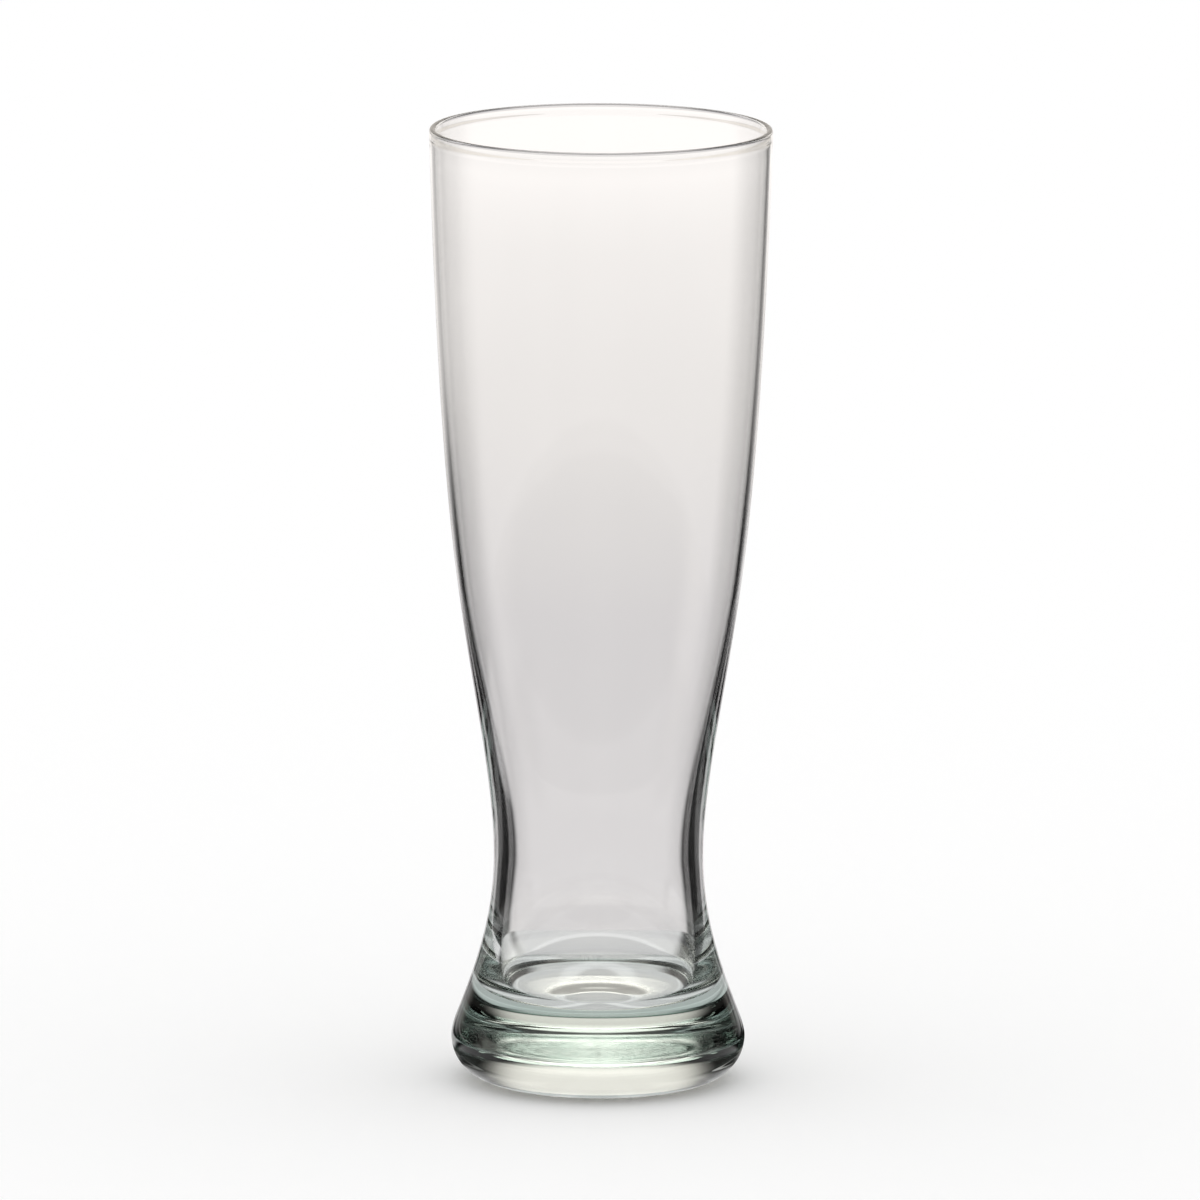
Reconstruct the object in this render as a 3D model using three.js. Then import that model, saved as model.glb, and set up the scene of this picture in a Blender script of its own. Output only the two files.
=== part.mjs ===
// Pilsner glass: a blown bowl sealed to a heavy pressed foot. Millimetres, +Z up.
// Every outline is drawn as (radius, height) and turned once round the upright axis.
// A lean is a slope, millimetres outwards per millimetre up. A pull is how far up or down a curve's
// handle reaches from the point where it starts or ends.
import * as THREE from 'three';

// Rim
const glassHeight = 225;
const rimRadius = 40;
const rimWall = 1.2;
const rimLean = 0.029;
const rimPull = 44.8;
const lipSwell = 0.4;
const lipDrop = 2.8;

// Shoulder, where the steep lower cone eases into the near-upright upper wall
const shoulderHeight = 118;
const shoulderRadius = 33.15;
const shoulderWall = 1.5;
const shoulderLean = 0.136;
const shoulderPullUp = 24.9;
const shoulderPullDown = 26.4;

// Waist
const waistHeight = 53;
const waistRadius = 24.5;
const waistWall = 3.4;
const waistPullUp = 17.4;
const waistPullDown = 16.8;

// Seal between bowl and foot
const sealHeight = 15.2;
const sealRadius = 33.1;
const sealLean = -0.365;
const sealPullUp = 7.4;
const sealPullDown = 2.2;

// Well at the bottom of the drink space
const floorHeight = 19;
const floorDish = 0.5;
const wellRadius = 23.6;
const wellCorner = 5.2;
const wellPull = 8;

// Foot
const footRadius = 34.4;
const footWidestHeight = 10.3;
const footPullUp = 1;
const restRadius = 24;
const restWidth = 3.6;
const puntDepth = 2.6;

// Fineness of the faceted solids
const turnSteps = 60;
const curveSteps = 6;

const at = (radius, height) => new THREE.Vector2(radius, height);
const line = (from, to) => new THREE.LineCurve(from, to);
const curve = (from, pullFrom, pullTo, to) => new THREE.CubicBezierCurve(from, pullFrom, pullTo, to);

// A point reached by following a lean up (or down, if rise is negative) from another point
const along = (point, lean, rise) => at(point.x + lean * rise, point.y + rise);

// Turns joined curves into a closed solid. They run from axis to axis, the outside on the right.
function turned(name, curves, material) {
  const points = [curves[0].getPoint(0)];
  for (const piece of curves) {
    const steps = piece.isLineCurve ? 1 : curveSteps;
    points.push(...piece.getPoints(steps).slice(1));
  }
  const geometry = new THREE.LatheGeometry(points, turnSteps);
  geometry.rotateX(Math.PI / 2);
  const mesh = new THREE.Mesh(geometry, material);
  mesh.name = name;
  return mesh;
}

const clearGlass = (colour) => new THREE.MeshStandardMaterial({ color: colour, roughness: 0.04, metalness: 0 });

// The seal is one flat disc, shared by both pieces
const sealCentre = at(0, sealHeight);
const sealEdge = at(sealRadius, sealHeight);

function makeBowl() {
  // The lip is round and flush outside. Inside it swells from the wall over the lip's drop.
  const lipRadius = (rimWall + lipSwell) / 2;
  const lipAxis = at(rimRadius - lipRadius, glassHeight - lipRadius);
  const lip = new THREE.EllipseCurve(
    lipAxis.x, lipAxis.y, lipRadius, lipRadius, 0, Math.PI, false, 0,
  );
  const rimOutside = lip.getPoint(0);
  const lipInside = lip.getPoint(1);
  const rimInside = along(at(rimRadius - rimWall, lipAxis.y), rimLean, -lipDrop);
  const swell = curve(
    lipInside, along(lipInside, 0, -lipDrop / 2),
    along(rimInside, rimLean, lipDrop / 2), rimInside,
  );

  const waistOutside = at(waistRadius, waistHeight);
  const waistInside = at(waistRadius - waistWall, waistHeight);
  const shoulderOutside = at(shoulderRadius, shoulderHeight);
  const shoulderInside = at(shoulderRadius - shoulderWall, shoulderHeight);

  const flare = curve(
    sealEdge, along(sealEdge, sealLean, sealPullUp),
    along(waistOutside, 0, -waistPullDown), waistOutside,
  );
  // The outside and the inside of the wall follow the same rule from waist to shoulder to rim
  const lowerWall = (waist, shoulder) => curve(
    waist, along(waist, 0, waistPullUp),
    along(shoulder, shoulderLean, -shoulderPullDown), shoulder,
  );
  const upperWall = (shoulder, rim) => curve(
    shoulder, along(shoulder, shoulderLean, shoulderPullUp),
    along(rim, rimLean, -rimPull), rim,
  );

  // Inside, listed downwards from the lip
  const back = (piece) => curve(piece.v3, piece.v2, piece.v1, piece.v0);
  const wellTop = at(wellRadius, floorHeight + wellCorner);
  const wellSide = curve(
    waistInside, along(waistInside, 0, -wellPull), along(wellTop, 0, wellPull), wellTop,
  );
  const cornerAxis = at(wellRadius - wellCorner, floorHeight + wellCorner);
  const corner = new THREE.EllipseCurve(
    cornerAxis.x, cornerAxis.y, wellCorner, wellCorner, 0, -Math.PI / 2, true, 0,
  );
  const floorEdge = corner.getPoint(1);
  const floorCentre = at(0, floorHeight - floorDish);
  const floorMiddle = floorEdge.x / 2;
  const floor = curve(
    floorEdge, at(floorMiddle, floorEdge.y), at(floorMiddle, floorCentre.y), floorCentre,
  );

  return turned('bowl', [
    line(sealCentre, sealEdge),
    flare,
    lowerWall(waistOutside, shoulderOutside),
    upperWall(shoulderOutside, rimOutside),
    lip,
    swell,
    back(upperWall(shoulderInside, rimInside)),
    back(lowerWall(waistInside, shoulderInside)),
    wellSide,
    corner,
    floor,
  ], clearGlass(0xeef2ef));
}

function makeFoot() {
  const puntCentre = at(0, puntDepth);
  const puntEdge = at(restRadius - restWidth, 0);
  const restEdge = at(restRadius, 0);
  const widest = at(footRadius, footWidestHeight);
  const puntMiddle = puntEdge.x / 2;
  const punt = curve(
    puntCentre, at(puntMiddle, puntDepth), at(puntMiddle, 0), puntEdge,
  );
  const roundedEdge = new THREE.EllipseCurve(
    restRadius, footWidestHeight, footRadius - restRadius, footWidestHeight, -Math.PI / 2, 0, false, 0,
  );
  const side = curve(
    widest, along(widest, 0, footPullUp),
    along(sealEdge, sealLean, -sealPullDown), sealEdge,
  );
  return turned('foot', [
    punt,
    line(puntEdge, restEdge),
    roundedEdge,
    side,
    line(sealEdge, sealCentre),
  ], clearGlass(0xe4ece8));
}

const pilsnerGlass = new THREE.Group();
pilsnerGlass.name = 'pilsner_glass';
pilsnerGlass.add(makeBowl(), makeFoot());

export default pilsnerGlass;
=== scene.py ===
"""Pilsner glass: a clear bowl sealed to a heavy foot, with the stage and camera that show it.

Outlines are drawn as (radius, height) in metres and turned once round the upright axis.
A lean is a slope, metres outwards per metre up. A pull is how far up or down a curve's handle reaches
from the point where it starts or ends.
"""
import math
from collections import namedtuple

import bpy
from mathutils import Matrix, Vector


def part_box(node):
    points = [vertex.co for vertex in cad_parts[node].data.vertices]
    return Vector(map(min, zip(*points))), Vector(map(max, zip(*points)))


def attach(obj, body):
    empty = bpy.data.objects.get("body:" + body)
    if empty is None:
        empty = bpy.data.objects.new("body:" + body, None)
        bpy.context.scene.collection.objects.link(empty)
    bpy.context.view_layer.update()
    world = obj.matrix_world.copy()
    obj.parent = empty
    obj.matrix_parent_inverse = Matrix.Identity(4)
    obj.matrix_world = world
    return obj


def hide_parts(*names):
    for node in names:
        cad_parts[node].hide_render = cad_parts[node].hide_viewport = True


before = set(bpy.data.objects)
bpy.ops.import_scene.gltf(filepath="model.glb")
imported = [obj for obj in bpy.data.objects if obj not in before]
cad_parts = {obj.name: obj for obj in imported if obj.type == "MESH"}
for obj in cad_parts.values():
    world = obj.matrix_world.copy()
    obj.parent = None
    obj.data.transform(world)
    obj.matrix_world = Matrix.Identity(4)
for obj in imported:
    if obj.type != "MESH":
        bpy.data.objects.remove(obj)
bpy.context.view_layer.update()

bl_info = {
    "name": "Pilsner Glass",
    "version": (1, 0, 0),
    "blender": (4, 5, 0),
    "location": "View3D > Sidebar > Pilsner Glass",
    "description": "Models a clear pilsner glass and sets it on a pale stage",
    "category": "Object",
}

FULL_TURN = 2 * math.pi

# Steps round the axis, and steps along each curve of an outline
TURN_STEPS = 256
CURVE_STEPS = 24

# Points of a turned mesh that are closer than this are one point
MERGE_DISTANCE = 1e-7

# How near a point or a face has to be to a height to count as lying on it
HEIGHT_TOLERANCE = 5e-6

# Faces in the very same place trap light, so the foot's side of the seal lies this much lower
SEAL_GAP = 2e-6

# The wear from tables is full up to the first height on the foot and gone at the second
SCUFF_FULL = 0.0002
SCUFF_END = 0.0012

# Detail and roughness of the noise behind the ripple, the haze and the scratches
RIPPLE_NOISE = (1.0, 0.5)
SMEAR_NOISE = (4.0, 0.6)
SCRATCH_NOISE = (3.0, 0.5)

WHITE = (1.0, 1.0, 1.0)

# A face is level if the upright part of its normal is more than this
LEVEL_NORMAL = 0.99

# Edges that turn more than this stay sharp
SHARP_ANGLE = math.radians(50)


def length(name, description, default):
    """A size in metres that a user may change."""
    return bpy.props.FloatProperty(
        name=name, description=description, default=default, min=0.0,
        precision=5, subtype="DISTANCE", unit="LENGTH",
    )


def lean(name, description, default):
    """A slope, outwards per unit up."""
    return bpy.props.FloatProperty(name=name, description=description, default=default, precision=4)


def share(name, description, default):
    """A plain number from 0 to 1."""
    return bpy.props.FloatProperty(
        name=name, description=description, default=default, min=0.0, max=1.0, precision=4,
        subtype="FACTOR",
    )


def colour(name, description, default):
    """A colour with alpha, as shader sockets take it."""
    return bpy.props.FloatVectorProperty(
        name=name, description=description, default=default, size=4, min=0.0, max=1.0, subtype="COLOR",
    )


def angle(name, description, degrees):
    """An angle, given here in degrees."""
    return bpy.props.FloatProperty(
        name=name, description=description, default=math.radians(degrees), subtype="ANGLE", unit="ROTATION",
    )


class PilsnerBowlSizes(bpy.types.PropertyGroup):
    """Outline of the bowl, outside and in"""

    glass_height: length("Glass height", "From the table to the top of the lip", 0.225)
    rim_radius: length("Rim radius", "Outside radius of the lip", 0.040)
    rim_wall: length("Rim wall", "Wall just under the lip", 0.0012)
    rim_lean: lean("Rim lean", "Slope of the wall under the lip", 0.029)
    rim_pull: length("Rim pull", "Reach of the curve that runs up to the lip", 0.0448)
    lip_swell: length("Lip swell", "How far the lip stands proud of the wall inside", 0.0004)
    lip_drop: length("Lip drop", "Height over which the lip runs out into the wall", 0.0028)
    shoulder_height: length("Shoulder height", "Where the lower cone eases into the upper wall", 0.118)
    shoulder_radius: length("Shoulder radius", "Outside radius at the shoulder", 0.03315)
    shoulder_wall: length("Shoulder wall", "Wall at the shoulder", 0.0015)
    shoulder_lean: lean("Shoulder lean", "Slope of the wall at the shoulder", 0.136)
    shoulder_pull_up: length("Shoulder pull up", "Reach of the curve above the shoulder", 0.0249)
    shoulder_pull_down: length("Shoulder pull down", "Reach of the curve below the shoulder", 0.0264)
    waist_height: length("Waist height", "Where the glass is narrowest", 0.053)
    waist_radius: length("Waist radius", "Outside radius of the waist", 0.0245)
    waist_wall: length("Waist wall", "Wall at the waist", 0.0034)
    waist_pull_up: length("Waist pull up", "Reach of the curve above the waist", 0.0174)
    waist_pull_down: length("Waist pull down", "Reach of the curve below the waist", 0.0168)
    floor_height: length("Floor height", "Edge of the inside floor above the table", 0.019)
    floor_dish: length("Floor dish", "How far the floor sinks at its middle", 0.0005)
    well_radius: length("Well radius", "Inside radius just above the floor", 0.0236)
    well_corner: length("Well corner", "Radius of the corner between wall and floor", 0.0052)
    well_pull: length("Well pull", "Reach of the inside curve below the waist", 0.008)


class PilsnerFootSizes(bpy.types.PropertyGroup):
    """Outline of the foot and of the seal that joins it to the bowl"""

    seal_height: length("Seal height", "Height of the flat seal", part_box("foot")[1].z)
    seal_radius: length("Seal radius", "Radius of the flat seal", 0.0331)
    seal_lean: lean("Seal lean", "Slope of the outside where bowl and foot meet", -0.365)
    seal_pull_up: length("Seal pull up", "Reach of the curve above the seal", 0.0074)
    seal_pull_down: length("Seal pull down", "Reach of the curve below the seal", 0.0022)
    foot_radius: length("Foot radius", "Outside radius of the foot", 0.0344)
    foot_widest_height: length("Foot widest height", "Where the foot is widest", 0.0103)
    foot_pull_up: length("Foot pull up", "Reach of the curve above the widest place", 0.001)
    rest_radius: length("Rest radius", "Outside radius of the ring that it stands on", 0.024)
    rest_width: length("Rest width", "Width of the ring that it stands on", 0.0036)
    punt_depth: length("Punt depth", "Depth of the hollow underneath", 0.0026)


class PilsnerFinish(bpy.types.PropertyGroup):
    """How the glass looks"""

    refraction: bpy.props.FloatProperty(
        name="Refraction", description="Index of refraction of soda-lime glass", default=1.52, min=1.0,
    )
    bowl_colour: colour("Bowl colour", "What the thin wall lets through", (0.99, 0.99, 0.99, 1.0))
    foot_colour: colour(
        "Foot colour", "What the pressed skin of the foot lets through", (0.985, 0.995, 0.99, 1.0),
    )
    depth_colour: colour(
        "Depth colour", "Tint that grows with the thickness of the glass", (0.34, 0.52, 0.46, 1.0),
    )
    depth_density: bpy.props.FloatProperty(
        name="Depth density", description="Strength of the tint per metre of glass", default=4.0, min=0.0,
    )
    ripple_spacing: length("Ripple spacing", "Spacing of the faint unevenness left by blowing", 0.018)
    ripple_height: length("Ripple height", "Height of that unevenness", 0.000006)
    haze: share("Haze", "Most roughness on the clean glass", 0.03)
    scuff: share("Scuff", "Roughness of the worn ring that the glass stands on", 0.3)
    scratch_spacing: length("Scratch spacing", "Spacing of the scratches on that ring", 0.0012)


class PilsnerStage(bpy.types.PropertyGroup):
    """Floor, surroundings and camera"""

    floor_size: length("Floor size", "Side of the square floor", 40.0)
    floor_colour: colour("Floor colour", "Colour of the floor", (1.0, 1.0, 1.0, 1.0))
    pad_radius: length("Pad radius", "How far round the foot the floor shows in the glass", 0.105)
    camera_distance: length("Camera distance", "Level distance from the glass to the camera", 4.0)
    camera_height: length("Camera height", "Height of the camera above the table", 0.824)
    aim_height: length("Aim height", "Height of the point on the axis that the camera looks at", 0.11358)
    aim_aside: length("Aim aside", "How far to the right of the axis the camera looks", 0.00014)
    camera_roll: angle("Camera roll", "Tilt of the picture", 0.2)
    lens: bpy.props.FloatProperty(
        name="Lens", description="Focal length of the camera", default=522.0, min=1.0, unit="CAMERA",
    )


# Outlines


def at(radius, height):
    """A point of an outline."""
    return Vector((radius, 0.0, height))


def along(point, slope, rise):
    """The point reached by following a slope up, or down if rise is negative."""
    return at(point.x + slope * rise, point.z + rise)


def straight(start, end):
    """A straight stretch as a curve with its handles on the line."""
    return (start, start.lerp(end, 1 / 3), end.lerp(start, 1 / 3), end)


def backwards(stretch):
    """The same curve run from its end to its start."""
    return tuple(reversed(stretch))


def arc(centre, radius_across, radius_up, start, end, parts):
    """Part of an upright ellipse as a run of curves."""
    step = (end - start) / parts
    reach = 4 / 3 * math.tan(step / 4)
    stretches = []
    for part in range(parts):
        ends = []
        for turn in (start + part * step, start + (part + 1) * step):
            place = at(centre.x + radius_across * math.cos(turn), centre.z + radius_up * math.sin(turn))
            heading = at(-radius_across * math.sin(turn), radius_up * math.cos(turn))
            ends.append((place, heading))
        (first, leave), (last, meet) = ends
        stretches.append((first, first + leave * reach, last - meet * reach, last))
    return stretches


def lip_bead(bowl):
    """The round lip, flush outside and swelling inwards from the wall, from outside to inside."""
    radius = (bowl.rim_wall + bowl.lip_swell) / 2
    axis = at(bowl.rim_radius - radius, bowl.glass_height - radius)
    bead = arc(axis, radius, radius, 0, math.pi, 2)
    top = bead[-1][-1]
    bottom = along(at(bowl.rim_radius - bowl.rim_wall, axis.z), bowl.rim_lean, -bowl.lip_drop)
    swell = (
        top, along(top, 0, -bowl.lip_drop / 2),
        along(bottom, bowl.rim_lean, bowl.lip_drop / 2), bottom,
    )
    return [*bead, swell]


def bowl_outline(bowl, foot):
    """Curves of the bowl from the middle of the seal, round the lip and down to the middle of the floor."""
    seal_edge = at(foot.seal_radius, foot.seal_height)
    waist_outside = at(bowl.waist_radius, bowl.waist_height)
    waist_inside = at(bowl.waist_radius - bowl.waist_wall, bowl.waist_height)
    shoulder_outside = at(bowl.shoulder_radius, bowl.shoulder_height)
    shoulder_inside = at(bowl.shoulder_radius - bowl.shoulder_wall, bowl.shoulder_height)
    lip = lip_bead(bowl)

    def lower_wall(waist, shoulder):
        return (
            waist, along(waist, 0, bowl.waist_pull_up),
            along(shoulder, bowl.shoulder_lean, -bowl.shoulder_pull_down), shoulder,
        )

    def upper_wall(shoulder, rim):
        return (
            shoulder, along(shoulder, bowl.shoulder_lean, bowl.shoulder_pull_up),
            along(rim, bowl.rim_lean, -bowl.rim_pull), rim,
        )

    flare = (
        seal_edge, along(seal_edge, foot.seal_lean, foot.seal_pull_up),
        along(waist_outside, 0, -bowl.waist_pull_down), waist_outside,
    )
    well_top = at(bowl.well_radius, bowl.floor_height + bowl.well_corner)
    well_side = (
        waist_inside, along(waist_inside, 0, -bowl.well_pull),
        along(well_top, 0, bowl.well_pull), well_top,
    )
    corner_axis = at(bowl.well_radius - bowl.well_corner, well_top.z)
    corner = arc(corner_axis, bowl.well_corner, bowl.well_corner, 0, -math.pi / 2, 1)
    floor_edge = corner[-1][-1]
    floor_centre = at(0, bowl.floor_height - bowl.floor_dish)
    floor_middle = floor_edge.x / 2
    floor = (
        floor_edge, at(floor_middle, floor_edge.z), at(floor_middle, floor_centre.z), floor_centre,
    )
    return [
        straight(at(0, foot.seal_height), seal_edge),
        flare,
        lower_wall(waist_outside, shoulder_outside),
        upper_wall(shoulder_outside, lip[0][0]),
        *lip,
        backwards(upper_wall(shoulder_inside, lip[-1][-1])),
        backwards(lower_wall(waist_inside, shoulder_inside)),
        well_side,
        *corner,
        floor,
    ]


def foot_outline(foot):
    """Curves of the foot from the middle of the hollow underneath to the middle of the seal."""
    seal_edge = at(foot.seal_radius, foot.seal_height - SEAL_GAP)
    widest = at(foot.foot_radius, foot.foot_widest_height)
    punt_centre = at(0, foot.punt_depth)
    punt_edge = at(foot.rest_radius - foot.rest_width, 0)
    punt_middle = punt_edge.x / 2
    punt = (punt_centre, at(punt_middle, foot.punt_depth), at(punt_middle, 0), punt_edge)
    rounded_edge = arc(
        at(foot.rest_radius, foot.foot_widest_height),
        foot.foot_radius - foot.rest_radius, foot.foot_widest_height, -math.pi / 2, 0, 1,
    )
    side = (
        widest, along(widest, 0, foot.foot_pull_up),
        along(seal_edge, foot.seal_lean, -foot.seal_pull_down), seal_edge,
    )
    return [
        punt,
        straight(punt_edge, at(foot.rest_radius, 0)),
        *rounded_edge,
        side,
        straight(seal_edge, at(0, seal_edge.z)),
    ]


# Modelling


def draw_outline(name, stretches):
    """Draws the outline as one curve and makes it a chain of edges."""
    bpy.ops.object.select_all(action="DESELECT")
    bpy.ops.curve.primitive_bezier_curve_add(location=(0, 0, 0))
    outline = bpy.context.object
    outline.name = name
    outline.data.name = name
    outline.data.resolution_u = CURVE_STEPS
    points = outline.data.splines[0].bezier_points
    points.add(len(stretches) + 1 - len(points))
    for point in points:
        point.handle_left_type = "FREE"
        point.handle_right_type = "FREE"
    points[0].co = points[0].handle_left = stretches[0][0]
    for index, (start, leave, meet, end) in enumerate(stretches):
        points[index].handle_right = leave
        points[index + 1].handle_left = meet
        points[index + 1].co = end
    points[-1].handle_right = stretches[-1][-1]
    bpy.ops.object.convert(target="MESH")
    return bpy.context.object


def pick(piece, kind, wanted):
    """Enters edit mode with only the wanted vertices, edges or faces selected."""
    bpy.ops.object.mode_set(mode="EDIT")
    bpy.ops.mesh.select_mode(type=kind)
    bpy.ops.mesh.select_all(action="DESELECT")
    bpy.ops.object.mode_set(mode="OBJECT")
    mesh = piece.data
    for element in {"VERT": mesh.vertices, "EDGE": mesh.edges, "FACE": mesh.polygons}[kind]:
        element.select = wanted(element)
    bpy.ops.object.mode_set(mode="EDIT")


def thin_seal(piece, foot):
    """Takes out the points inside the flat seal, which needs none."""
    def inside_seal(vertex):
        radius = vertex.co.x
        level = abs(vertex.co.z - foot.seal_height) < HEIGHT_TOLERANCE
        return level and MERGE_DISTANCE < radius < foot.seal_radius - MERGE_DISTANCE

    pick(piece, "VERT", inside_seal)
    bpy.ops.mesh.dissolve_verts()
    bpy.ops.object.mode_set(mode="OBJECT")


def turn(piece):
    """Turns the outline once round the upright axis into a closed body."""
    bpy.ops.object.mode_set(mode="EDIT")
    bpy.ops.mesh.select_all(action="SELECT")
    bpy.ops.mesh.spin(steps=TURN_STEPS, angle=FULL_TURN, center=(0, 0, 0), axis=(0, 0, 1))
    bpy.ops.mesh.select_all(action="SELECT")
    bpy.ops.mesh.remove_doubles(threshold=MERGE_DISTANCE)
    bpy.ops.mesh.normals_make_consistent(inside=False)
    bpy.ops.object.mode_set(mode="OBJECT")


def dress(piece, glass, seal, foot):
    """Gives the piece its glass, with the flat seal left clear, and smooths it."""
    piece.data.materials.append(glass)
    piece.data.materials.append(seal)

    def on_seal(face):
        near = abs(face.center.z - foot.seal_height) < HEIGHT_TOLERANCE
        return near and abs(face.normal.z) > LEVEL_NORMAL

    pick(piece, "FACE", on_seal)
    piece.active_material_index = 1
    bpy.ops.object.material_slot_assign()
    bpy.ops.object.mode_set(mode="OBJECT")
    bpy.ops.object.shade_smooth_by_angle(angle=SHARP_ANGLE)


# Shader nodes


class NodeDesk:
    """Short ways to place and join the nodes of one tree."""

    def __init__(self, tree):
        self.nodes = tree.nodes
        self.link = tree.links.new

    def feed(self, socket, value):
        """Sets the socket if the value is a number and links it otherwise."""
        if isinstance(value, (int, float)):
            socket.default_value = value
        else:
            self.link(value, socket)

    def math(self, operation, *values):
        node = self.nodes.new("ShaderNodeMath")
        node.operation = operation
        for socket, value in zip(node.inputs, values):
            self.feed(socket, value)
        return node.outputs[0]

    def fade(self, value, start, end, first=0.0, last=1.0):
        """Goes smoothly from first to last as the value goes from start to end."""
        node = self.nodes.new("ShaderNodeMapRange")
        node.interpolation_type = "SMOOTHSTEP"
        for socket, given in zip(node.inputs, (value, start, end, first, last)):
            self.feed(socket, given)
        return node.outputs[0]

    def edge(self, value, place, width):
        """One below a place and nought above it, with a soft edge of that width."""
        return self.fade(value, place - width / 2, place + width / 2, 1.0, 0.0)

    def mix(self, share, below, above):
        """A number between two others."""
        node = self.nodes.new("ShaderNodeMix")
        node.data_type = "FLOAT"
        for socket, value in zip((node.inputs[0], node.inputs[2], node.inputs[3]), (share, below, above)):
            self.feed(socket, value)
        return node.outputs[0]

    def blend(self, share, below, above):
        """A shader between two others."""
        node = self.nodes.new("ShaderNodeMixShader")
        for socket, value in zip(node.inputs, (share, below, above)):
            self.link(value, socket)
        return node.outputs[0]

    def glow(self, light, tint):
        """A shader that gives off light of a tint."""
        node = self.nodes.new("ShaderNodeEmission")
        node.inputs["Color"].default_value = (*tint, 1.0)
        self.link(light, node.inputs["Strength"])
        return node.outputs[0]

    def noise(self, position, scale, detail, roughness):
        node = self.nodes.new("ShaderNodeTexNoise")
        node.inputs["Detail"].default_value = detail
        node.inputs["Roughness"].default_value = roughness
        self.link(position, node.inputs["Vector"])
        self.link(scale, node.inputs["Scale"])
        return node.outputs["Fac"]

    def parts(self, vector):
        """The three parts of a vector."""
        node = self.nodes.new("ShaderNodeSeparateXYZ")
        self.link(vector, node.inputs[0])
        return node.outputs

    def coordinates(self, kind):
        """The three parts of the texture coordinates of a kind."""
        return self.parts(self.nodes.new("ShaderNodeTexCoord").outputs[kind])

    def distance(self, aside, ahead):
        squares = [self.math("MULTIPLY", part, part) for part in (aside, ahead)]
        return self.math("SQRT", self.math("ADD", *squares))

    def bearing(self, aside, ahead):
        """Degrees round the upright axis: 0 is straight ahead and 90 is to the left."""
        left = self.math("MULTIPLY", aside, -1.0)
        return self.math("DEGREES", self.math("ARCTAN2", left, ahead))

    def sector(self, bearing, azimuth, half_width, side_fade):
        """One in a sector about an azimuth and nought outside it, with soft sides."""
        aside = self.math("WRAP", self.math("SUBTRACT", bearing, azimuth), 180.0, -180.0)
        return self.edge(self.math("ABSOLUTE", aside), half_width, side_fade)

    def seen_in_glass(self):
        """One for light that the glass has mirrored or bent, and nought for other light."""
        path = self.nodes.new("ShaderNodeLightPath")
        return self.math("MAXIMUM", path.outputs["Is Glossy Ray"], path.outputs["Is Transmission Ray"])


# Glass


def glass_surface_group():
    """Node group for the faint ripple and haze of a fire-polished surface."""
    name = "fire_polished_surface"
    if name in bpy.data.node_groups:
        return bpy.data.node_groups[name]
    group = bpy.data.node_groups.new(name, "ShaderNodeTree")
    sockets = group.interface
    sockets.new_socket("Position", in_out="INPUT", socket_type="NodeSocketVector")
    for title in ("Ripple Scale", "Haze", "Scuff", "Scratch Scale"):
        sockets.new_socket(title, in_out="INPUT", socket_type="NodeSocketFloat")
    for title in ("Height", "Roughness"):
        sockets.new_socket(title, in_out="OUTPUT", socket_type="NodeSocketFloat")
    desk = NodeDesk(group)
    given = desk.nodes.new("NodeGroupInput").outputs
    result = desk.nodes.new("NodeGroupOutput").inputs
    position = given["Position"]

    desk.link(desk.noise(position, given["Ripple Scale"], *RIPPLE_NOISE), result["Height"])

    smear = desk.noise(position, given["Ripple Scale"], *SMEAR_NOISE)
    haze = desk.math("MULTIPLY", smear, given["Haze"])
    touching = desk.fade(desk.parts(position)["Z"], SCUFF_FULL, SCUFF_END, 1.0, 0.0)
    scratches = desk.noise(position, given["Scratch Scale"], *SCRATCH_NOISE)
    worn = desk.math("MULTIPLY", touching, scratches)
    desk.link(desk.math("MULTIPLY_ADD", worn, given["Scuff"], haze), result["Roughness"])
    return group


def clear_material(name, tint, refraction, finish):
    """Clear glass with a tint that grows with its thickness."""
    material = bpy.data.materials.new(name)
    material.use_nodes = True
    nodes = material.node_tree.nodes
    shader = nodes["Principled BSDF"]
    shader.inputs["Base Color"].default_value = tint
    shader.inputs["Transmission Weight"].default_value = 1.0
    shader.inputs["IOR"].default_value = refraction
    depth = nodes.new("ShaderNodeVolumeAbsorption")
    depth.inputs["Color"].default_value = finish.depth_colour
    depth.inputs["Density"].default_value = finish.depth_density
    material.node_tree.links.new(depth.outputs["Volume"], nodes["Material Output"].inputs["Volume"])
    return material


def glass_material(name, tint, finish):
    """The clear glass of a piece, with its faint ripple, haze and wear."""
    material = clear_material(name, tint, finish.refraction, finish)
    nodes, link = material.node_tree.nodes, material.node_tree.links.new
    shader = nodes["Principled BSDF"]
    place = nodes.new("ShaderNodeTexCoord")
    surface = nodes.new("ShaderNodeGroup")
    surface.node_tree = glass_surface_group()
    surface.inputs["Ripple Scale"].default_value = 1 / finish.ripple_spacing
    surface.inputs["Haze"].default_value = finish.haze
    surface.inputs["Scuff"].default_value = finish.scuff
    surface.inputs["Scratch Scale"].default_value = 1 / finish.scratch_spacing
    link(place.outputs["Object"], surface.inputs["Position"])
    bump = nodes.new("ShaderNodeBump")
    bump.inputs["Strength"].default_value = 1.0
    bump.inputs["Distance"].default_value = finish.ripple_height
    link(surface.outputs["Height"], bump.inputs["Height"])
    link(bump.outputs["Normal"], shader.inputs["Normal"])
    link(surface.outputs["Roughness"], shader.inputs["Roughness"])
    return material


def seal_material(finish):
    """The hot seal, where light passes from bowl to foot without bending."""
    name = "hot_seal"
    if name in bpy.data.materials:
        return bpy.data.materials[name]
    material = clear_material(name, (*WHITE, 1.0), 1.0, finish)
    material.node_tree.nodes["Principled BSDF"].inputs["Roughness"].default_value = 0.0
    return material


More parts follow.
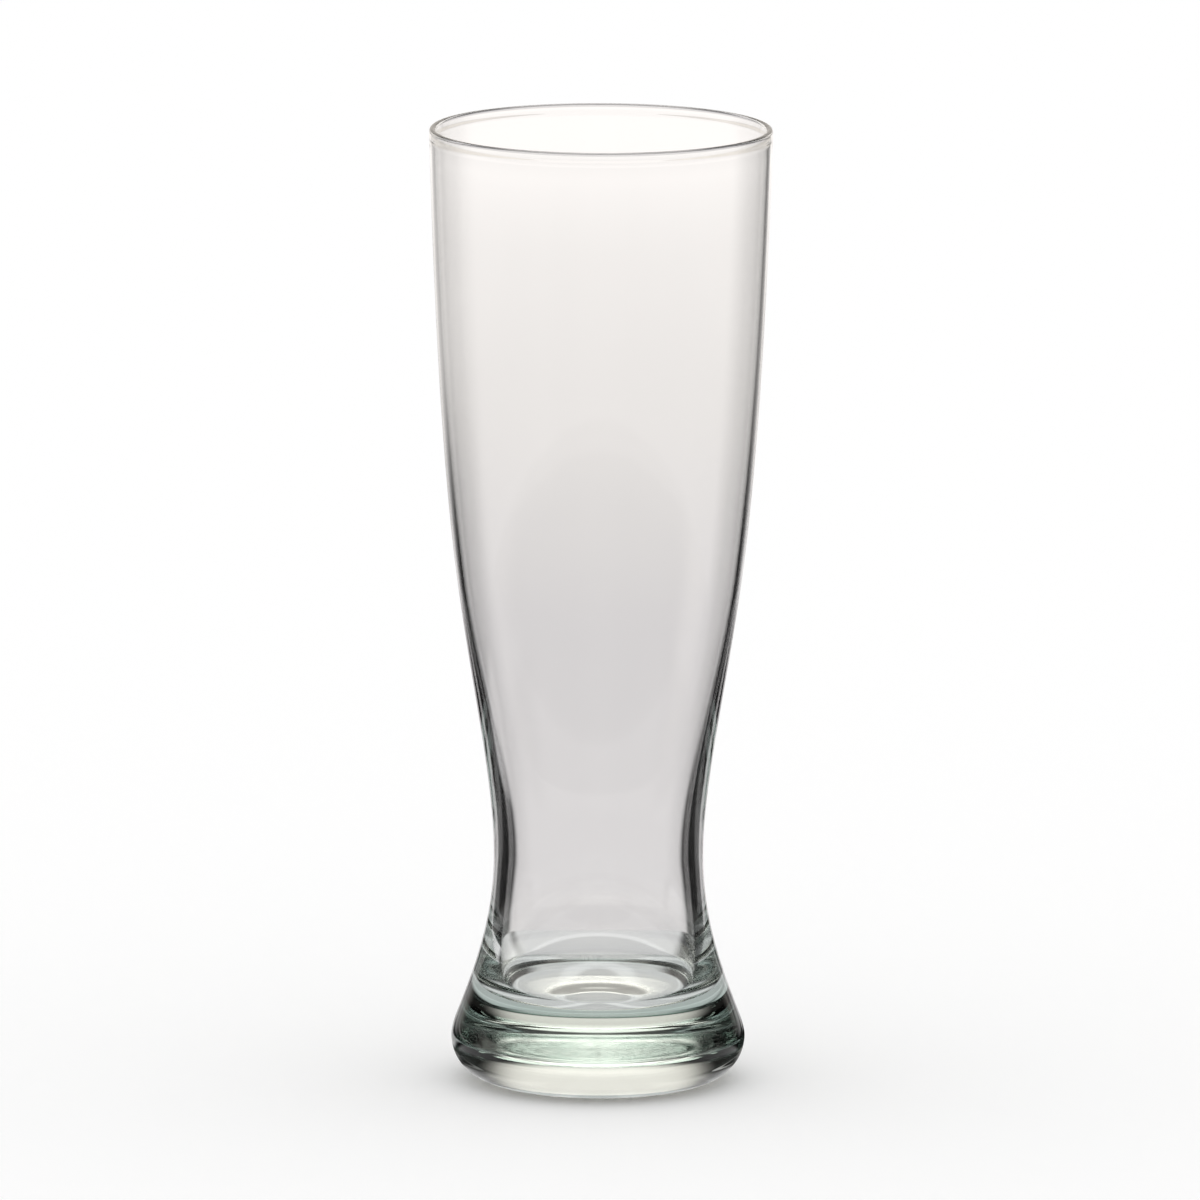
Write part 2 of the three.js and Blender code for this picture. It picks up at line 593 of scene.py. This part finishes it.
class PILSNER_OT_bowl(bpy.types.Operator):
    """Draws and turns the bowl with its round lip and makes it clear glass"""

    bl_idname = "pilsner.make_bowl"
    bl_label = "Make Bowl"
    bl_options = {"REGISTER", "UNDO"}

    def execute(self, context):
        scene = context.scene
        bowl, foot, finish = scene.pilsner_bowl, scene.pilsner_foot, scene.pilsner_finish
        piece = draw_outline("glass_bowl", bowl_outline(bowl, foot))
        thin_seal(piece, foot)
        turn(piece)
        glass = glass_material("bowl_glass", finish.bowl_colour, finish)
        dress(piece, glass, seal_material(finish), foot)
        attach(piece, "root")
        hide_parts("bowl")
        return {"FINISHED"}


class PILSNER_OT_foot(bpy.types.Operator):
    """Draws and turns the foot and makes it thick clear glass"""

    bl_idname = "pilsner.make_foot"
    bl_label = "Make Foot"
    bl_options = {"REGISTER", "UNDO"}

    def execute(self, context):
        scene = context.scene
        foot, finish = scene.pilsner_foot, scene.pilsner_finish
        piece = draw_outline("glass_foot", foot_outline(foot))
        thin_seal(piece, foot)
        turn(piece)
        glass = glass_material("foot_glass", finish.foot_colour, finish)
        dress(piece, glass, seal_material(finish), foot)
        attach(piece, "root")
        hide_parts("foot")
        return {"FINISHED"}


# Stage


# Light turns many times inside the thick foot before it comes out
LIGHT_BOUNCES = 32

# The floor lies this much under the glass, so that the two have no face in the very same place
FLOOR_DROP = 0.0002

# What glass sees round it, as soft-edged cards laid one over another. Degrees; azimuth 0 is behind the glass
# as the camera sees it, and 90 is to its left. Where there is no card it sees a dark flag.
Card = namedtuple("Card", "azimuth half_width side_fade lowest highest height_fade light")
FLAG_LIGHT = 0.015
CARDS = (
    Card(180, 110, 20, -28, 2, 4, 0.62),  # sweep round the sides and the front
    Card(90, 15, 20, -7, 12, 3, 0.9),  # wall at the left
    Card(0, 17, 6, -30, 0, 1.5, 0.75),  # sweep behind
    Card(0, 28, 20, -4.5, 14, 2, 0.72),  # far end of that sweep
    Card(45, 15, 10, -60, -22.5, 2, 0.92),  # floor behind left
    Card(180, 70, 20, -90, -21.5, 4, 0.6),  # floor in front
    Card(0, 25, 10, -90, -30, 6, 0.3),  # shade behind the foot
    Card(0, 180, 5, -90, -50, 6, 0.6),  # floor underneath
    Card(0, 32, 28, 0, 20, 5, 0.98),  # wall behind
    Card(0, 25, 30, 14, 90, 10, 1.2),  # upper wall behind
    Card(180, 80, 30, 0, 90, 5, 0.04),  # dark room in front
    Card(180, 80, 40, 28, 56, 14, 2.0),  # soft light above the camera
    Card(0, 180, 30, 55, 90, 8, 2.3),  # soft light overhead
    Card(0, 20, 10, 30, 52, 5, 0.42),  # shade between wall and overhead light
)

# Their tint below and above the horizon, and the elevations between which the one goes over into the other
BELOW_TINT = (1.0, 0.968, 0.97)
ABOVE_TINT = (1.0, 0.94, 0.87)
HORIZON = (-4.0, 2.0)

# Near the foot, glass sees painted light rings on the floor, from each radius outwards: the floor gives this
# light off for glass only, where no lamp lights it. They are longer from front to back than from side to
# side, by the stretch. The fade is the width of the soft edge.
Ring = namedtuple("Ring", "radius fade light")
RING_STRETCH = math.sqrt(12)
# Painted glow of the floor inside the first ring, seen only by glass
PAINTED_INNER_LIGHT = 0.55
PAINTED_LIGHT_RINGS = (
    Ring(0.032, 0.005, 0.85),
    Ring(0.043, 0.006, 0.64),
    Ring(0.093, 0.004, 0.85),
    Ring(0.100, 0.004, 0.72),
)
PAD_FADE = 0.008

# The painted light rings show under the foot and in a strip from front to back that widens by the slope on
# each side. Beside them the floor is painted dark for glass, a painted shade, except for the pad patches.
PRINT_RADIUS = 0.034
PRINT_FADE = 0.003
STRIP_HALF_WIDTH = 0.010
STRIP_FADE = 0.010
STRIP_SLOPE = 0.33

# Painted light on the floor in sectors, as glass sees it, which the floor gives off though no lamp lights it,
# coming up between a start and an end radius: first beside the strip, then on the far floor
Patch = namedtuple("Patch", "azimuth half_width side_fade start end light")
PAINTED_PAD_PATCHES = (
    Patch(180, 107, 10, 0.045, 0.055, 0.65),
    Patch(45, 17, 10, 0.045, 0.055, 0.85),
)
PAINTED_FAR_PATCHES = (
    Patch(90, 90, 20, 0.0, 0.1, 0.5),
    Patch(270, 90, 20, 0.0, 0.1, 0.2),
    Patch(180, 110, 20, 0.0, 0.1, 0.85),
    Patch(90, 20, 10, 0.0, 0.1, 0.9),
    Patch(0, 19, 6, 0.0, 0.1, 0.87),
    Patch(0, 19, 6, 0.9, 1.3, 0.93),
    Patch(0, 19, 6, 1.2, 1.5, 1.07),
)
# Tint of the painted light on the far floor
PAINTED_FAR_TINT = (1.0, 0.965, 0.94)

# Between the near and the far floor glass sees through to the cards. The painted light of the far floor fades
# in over these radii.
FAR_FADE = (0.5, 0.95)


def studio_world():
    """White to the eye and to matt surfaces; glass sees the cards, with dark flags between them."""
    world = bpy.data.worlds.new("studio")
    world.use_nodes = True
    desk = NodeDesk(world.node_tree)
    east, north, up = desk.coordinates("Generated")
    azimuth = desk.bearing(east, north)
    elevation = desk.math("DEGREES", desk.math("ARCSINE", up))

    light = FLAG_LIGHT
    for card in CARDS:
        across = desk.sector(azimuth, card.azimuth, card.half_width, card.side_fade)
        under = desk.edge(elevation, card.highest, card.height_fade)
        over = desk.math("SUBTRACT", 1.0, desk.edge(elevation, card.lowest, card.height_fade))
        cover = desk.math("MULTIPLY", across, desk.math("MULTIPLY", under, over))
        light = desk.mix(cover, light, card.light)

    seen_in_glass = desk.seen_in_glass()
    above = desk.fade(elevation, *HORIZON)
    shown = desk.nodes.new("ShaderNodeCombineColor")
    for socket, below_tint, above_tint in zip(shown.inputs, BELOW_TINT, ABOVE_TINT):
        tint = desk.mix(above, below_tint, above_tint)
        desk.link(desk.mix(seen_in_glass, 1.0, desk.math("MULTIPLY", light, tint)), socket)
    desk.link(shown.outputs[0], desk.nodes["Background"].inputs["Color"])
    return world


def lay_painted_patches(desk, patches, bearing, radius):
    """Painted light of patches on the floor, laid one over another on painted dark at the flag's light."""
    light = FLAG_LIGHT
    for patch in patches:
        across = desk.sector(bearing, patch.azimuth, patch.half_width, patch.side_fade)
        out = desk.fade(radius, patch.start, patch.end)
        light = desk.mix(desk.math("MULTIPLY", across, out), light, patch.light)
    return light


def painted_near_floor_light(desk, aside, ahead, bearing, radius):
    """Painted light and shade of the floor near the foot, as glass sees it: glowing rings in the strip and
    under the foot, painted dark beside them.
    """
    long_radius = desk.distance(desk.math("MULTIPLY", aside, RING_STRETCH), ahead)
    light = PAINTED_INNER_LIGHT
    for ring in PAINTED_LIGHT_RINGS:
        out = desk.fade(long_radius, ring.radius - ring.fade / 2, ring.radius + ring.fade / 2)
        light = desk.mix(out, light, ring.light)
    # Painted light in the strip and under the foot; beside them painted shade, with patches of painted light
    widening = desk.math("MULTIPLY", desk.math("ABSOLUTE", ahead), STRIP_SLOPE)
    off_strip = desk.math("SUBTRACT", desk.math("ABSOLUTE", aside), widening)
    strip = desk.edge(off_strip, STRIP_HALF_WIDTH, STRIP_FADE)
    under_foot = desk.edge(radius, PRINT_RADIUS, PRINT_FADE)
    lit = desk.math("MAXIMUM", strip, under_foot)
    return desk.mix(lit, lay_painted_patches(desk, PAINTED_PAD_PATCHES, bearing, radius), light)


def floor_material(stage):
    """A pale matt floor. For glass it glows with painted light and shade on the near and far floor, and glass
    sees through it between them.
    """
    material = bpy.data.materials.new("pale_floor")
    material.use_nodes = True
    desk = NodeDesk(material.node_tree)
    paper = desk.nodes["Principled BSDF"]
    paper.inputs["Base Color"].default_value = stage.floor_colour
    paper.inputs["Roughness"].default_value = 1.0
    paper.inputs["Specular IOR Level"].default_value = 0.0

    aside, ahead, _ = desk.coordinates("Object")
    radius = desk.distance(aside, ahead)
    bearing = desk.bearing(aside, ahead)
    # The far floor glows for glass with painted light in sectors
    far = desk.glow(lay_painted_patches(desk, PAINTED_FAR_PATCHES, bearing, radius), PAINTED_FAR_TINT)
    clear = desk.nodes.new("ShaderNodeBsdfTransparent").outputs[0]
    beyond = desk.blend(desk.fade(radius, *FAR_FADE), clear, far)
    # The near floor glows for glass with painted light rings and painted shade
    near = desk.glow(painted_near_floor_light(desk, aside, ahead, bearing, radius), WHITE)
    in_glass = desk.blend(desk.edge(radius, stage.pad_radius, PAD_FADE), beyond, near)
    surface = desk.blend(desk.seen_in_glass(), paper.outputs[0], in_glass)
    desk.link(surface, desk.nodes["Material Output"].inputs["Surface"])
    return material


class PILSNER_OT_stage(bpy.types.Operator):
    """Lays the floor, lights the stage and sets up the camera"""

    bl_idname = "pilsner.set_stage"
    bl_label = "Set Stage"
    bl_options = {"REGISTER", "UNDO"}

    def execute(self, context):
        scene = context.scene
        stage = scene.pilsner_stage
        bpy.ops.object.select_all(action="DESELECT")
        bpy.ops.mesh.primitive_plane_add(size=stage.floor_size, location=(0, 0, -FLOOR_DROP))
        floor = context.object
        floor.name = "stage_floor"
        floor.data.materials.append(floor_material(stage))

        scene.world = studio_world()
        scene.view_settings.view_transform = "Standard"
        scene.cycles.max_bounces = LIGHT_BOUNCES
        scene.cycles.transmission_bounces = LIGHT_BOUNCES
        scene.cycles.glossy_bounces = LIGHT_BOUNCES

        bpy.ops.object.camera_add(location=(0, -stage.camera_distance, stage.camera_height))
        camera = context.object
        camera.name = "photo_camera"
        camera.data.lens = stage.lens
        camera.data.clip_end = stage.floor_size
        aim = Vector((stage.aim_aside, 0, stage.aim_height)) - camera.location
        facing = aim.to_track_quat("-Z", "Y").to_matrix() @ Matrix.Rotation(stage.camera_roll, 3, "Z")
        camera.rotation_euler = facing.to_euler()
        scene.camera = camera
        return {"FINISHED"}


class PILSNER_PT_panel(bpy.types.Panel):
    """Sizes, finish and stage of the pilsner glass"""

    bl_idname = "PILSNER_PT_panel"
    bl_label = "Pilsner Glass"
    bl_space_type = "VIEW_3D"
    bl_region_type = "UI"
    bl_category = "Pilsner Glass"

    def draw(self, context):
        scene = context.scene
        for title, group, operator in (
            ("Bowl", scene.pilsner_bowl, PILSNER_OT_bowl),
            ("Foot", scene.pilsner_foot, PILSNER_OT_foot),
            ("Glass", scene.pilsner_finish, None),
            ("Stage", scene.pilsner_stage, PILSNER_OT_stage),
        ):
            box = self.layout.box()
            box.label(text=title)
            for name in group.__annotations__:
                box.prop(group, name)
            if operator:
                box.operator(operator.bl_idname)


CLASSES = (
    PilsnerBowlSizes,
    PilsnerFootSizes,
    PilsnerFinish,
    PilsnerStage,
    PILSNER_OT_bowl,
    PILSNER_OT_foot,
    PILSNER_OT_stage,
    PILSNER_PT_panel,
)
SETTINGS = {
    "pilsner_bowl": PilsnerBowlSizes,
    "pilsner_foot": PilsnerFootSizes,
    "pilsner_finish": PilsnerFinish,
    "pilsner_stage": PilsnerStage,
}


def register():
    for cls in CLASSES:
        bpy.utils.register_class(cls)
    for name, group in SETTINGS.items():
        setattr(bpy.types.Scene, name, bpy.props.PointerProperty(type=group))


def unregister():
    for name in SETTINGS:
        delattr(bpy.types.Scene, name)
    for cls in reversed(CLASSES):
        bpy.utils.unregister_class(cls)


def main():
    register()
    bpy.ops.pilsner.make_bowl()
    bpy.ops.pilsner.make_foot()
    bpy.ops.pilsner.set_stage()


if __name__ == "__main__":
    main()
